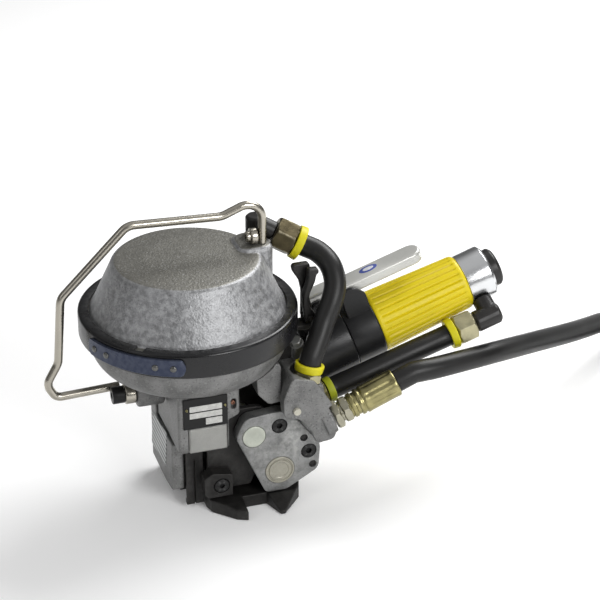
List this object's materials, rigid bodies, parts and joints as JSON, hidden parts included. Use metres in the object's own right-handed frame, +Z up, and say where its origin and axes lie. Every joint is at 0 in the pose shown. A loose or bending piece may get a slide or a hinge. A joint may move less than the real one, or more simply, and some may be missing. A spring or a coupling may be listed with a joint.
{
  "type": "pneumatic strapping tool",
  "caption": "Hand-held air tool that tensions, crimps and cuts steel strap: round sealing cylinder on a cast frame, geared air motor grip, carrying bail and air hoses.",
  "frame": {"origin": "on the flat underside of the base plate, below the axis of the sealing cylinder", "axes": "+X along the strap, from the sealing cylinder to the air motor; -Y the open front where the strap goes in; +Z up"},
  "size_m": [0.6975, 0.2188, 0.2196],
  "materials": {
    "cast_housing": "as-cast light alloy, fine grain, matt",
    "cast_bowl": "as-cast light alloy, speckled, matt",
    "dark_casting": "dark cast iron, matt",
    "machined_steel": "machined, satin",
    "machined_alloy": "machined, satin",
    "dark_steel": "oiled, blackened steel",
    "black_paint": "satin black",
    "blued_steel": "blued spring steel",
    "bail_wire": "satin nickel plate",
    "nickel_fitting": "nickel plate",
    "brass_fitting": "yellow-passivated fitting",
    "bronze_fitting": "dull olive bronze",
    "polished_cap": "polished",
    "lever_paint": "silver paint, satin",
    "grip_sleeve": "yellow, ribbed",
    "yellow_ring": "yellow",
    "lime_ring": "yellow-green",
    "hose_rubber": "black rubber cover, satin",
    "black_plastic": "black, satin",
    "pale_steel": "ground shaft end, pale",
    "rating_plate": "black plate with blank silver fields"
  },
  "bodies": {
    "frame": {"base_plate": "dark_steel", "gripper_plate": "machined_steel", "main_frame": "cast_housing", "front_cheek": "dark_steel", "strap_guide_block": "dark_steel", "guide_block_screw": "dark_steel", "sealer_housing": "cast_housing", "spacer_block": "machined_steel", "rating_plate": "rating_plate", "lower_cylinder": "cast_bowl", "cylinder_head": "cast_bowl", "clamp_band": "black_paint", "band_clasp": "blued_steel", "bail_rod": "bail_wire", "bail_top_eye": "bail_wire", "bail_lower_eye": "bail_wire", "bail_lower_screw": "dark_steel", "head_elbow": "black_plastic", "head_hose_nut": "bronze_fitting", "head_hose_ring": "yellow_ring", "cylinder_hose": "hose_rubber", "block_top_nut": "brass_fitting", "block_top_ring": "yellow_ring", "valve_block": "cast_housing", "block_side_nut": "brass_fitting", "block_side_ring": "lime_ring", "bridge_casting": "cast_housing", "supply_nut": "nickel_fitting", "supply_ferrule": "brass_fitting", "supply_hose": "hose_rubber", "supply_hose_coil": "hose_rubber", "supply_hose_tail": "hose_rubber", "supply_plug": "brass_fitting", "pivot_shaft": "pale_steel", "valve_lever_bracket": "dark_casting", "return_spring": "dark_steel"},
    "sealing_piston": {"piston": "machined_alloy", "punch_block": "dark_steel", "cutter_blade": "dark_steel"},
    "front_jaw": {"front_jaws": "dark_steel"},
    "rear_jaw": {"rear_jaws": "dark_steel"},
    "rocker": {"cover_plate": "cast_housing", "cover_screw_upper": "dark_steel", "cover_screw_lower": "dark_steel", "tension_housing": "dark_casting", "gear_case": "black_paint", "motor_collar": "black_paint", "motor_sleeve": "grip_sleeve", "motor_end_cap": "polished_cap", "end_plug": "black_plastic", "motor_elbow": "black_plastic", "motor_hose_nut": "brass_fitting", "motor_hose_ring": "yellow_ring", "motor_hose": "hose_rubber"},
    "drive_wheel": {"tension_wheel": "dark_steel", "wheel_shaft": "pale_steel"},
    "rotor": {"motor_rotor": "machined_steel"},
    "squeeze_lever": {"hand_lever": "lever_paint"},
    "tension_valve": {"tension_valve_lever": "dark_steel"},
    "sealing_valve": {"sealing_valve_lever": "dark_steel"}
  },
  "joints": [
    {"name": "sealing_stroke", "type": "slide", "parent": "frame", "child": "sealing_piston", "axis": [0, 0, -1], "range_m": [0, 0.012], "stiffness_N_per_m": 2000, "springref_m": -0.006, "deforming": ["return_spring"]},
    {"name": "front_jaw_close", "type": "hinge", "parent": "frame", "child": "front_jaw", "pos_m": [-0.0078, -0.0325, 0.046], "axis": [1, 0, 0], "range_deg": [0, 6]},
    {"name": "rear_jaw_close", "type": "hinge", "parent": "frame", "child": "rear_jaw", "pos_m": [-0.0078, -0.0145, 0.046], "axis": [-1, 0, 0], "range_deg": [0, 6]},
    {"name": "rocker_tilt", "type": "hinge", "parent": "frame", "child": "rocker", "pos_m": [0.0327, 0, 0.0598], "axis": [0, -1, 0], "range_deg": [0, 5.5], "deforming": ["motor_hose"]},
    {"name": "lever_squeeze", "type": "hinge", "parent": "rocker", "child": "squeeze_lever", "pos_m": [0.09598, 0, 0.13046], "axis": [0, 1, 0], "range_deg": [0, 8]},
    {"name": "motor_spin", "type": "hinge", "parent": "rocker", "child": "rotor", "pos_m": [0.14, 0, 0.1094], "axis": [0.9478, 0, 0.319], "continuous": true},
    {"name": "wheel_spin", "type": "hinge", "parent": "rocker", "child": "drive_wheel", "pos_m": [0.0517, 0, 0.0287], "axis": [0, 1, 0], "continuous": true},
    {"name": "tension_valve_press", "type": "hinge", "parent": "frame", "child": "tension_valve", "pos_m": [0.084, -0.0186, 0.132], "axis": [0, -1, 0], "range_deg": [0, 7], "stiffness_Nm_per_rad": 0.3, "springref_deg": -5.73},
    {"name": "sealing_valve_press", "type": "hinge", "parent": "frame", "child": "sealing_valve", "pos_m": [0.084, -0.00985, 0.132], "axis": [0, -1, 0], "range_deg": [0, 7], "stiffness_Nm_per_rad": 0.3, "springref_deg": -5.73}
  ],
  "couplings": [
    {"joint": "front_jaw_close", "follows": "sealing_stroke", "rad_per_m": 8.7},
    {"joint": "rear_jaw_close", "follows": "sealing_stroke", "rad_per_m": 8.7},
    {"joint": "lever_squeeze", "follows": "rocker_tilt", "ratio": 1.45},
    {"joint": "wheel_spin", "follows": "motor_spin", "ratio": 0.025}
  ]
}
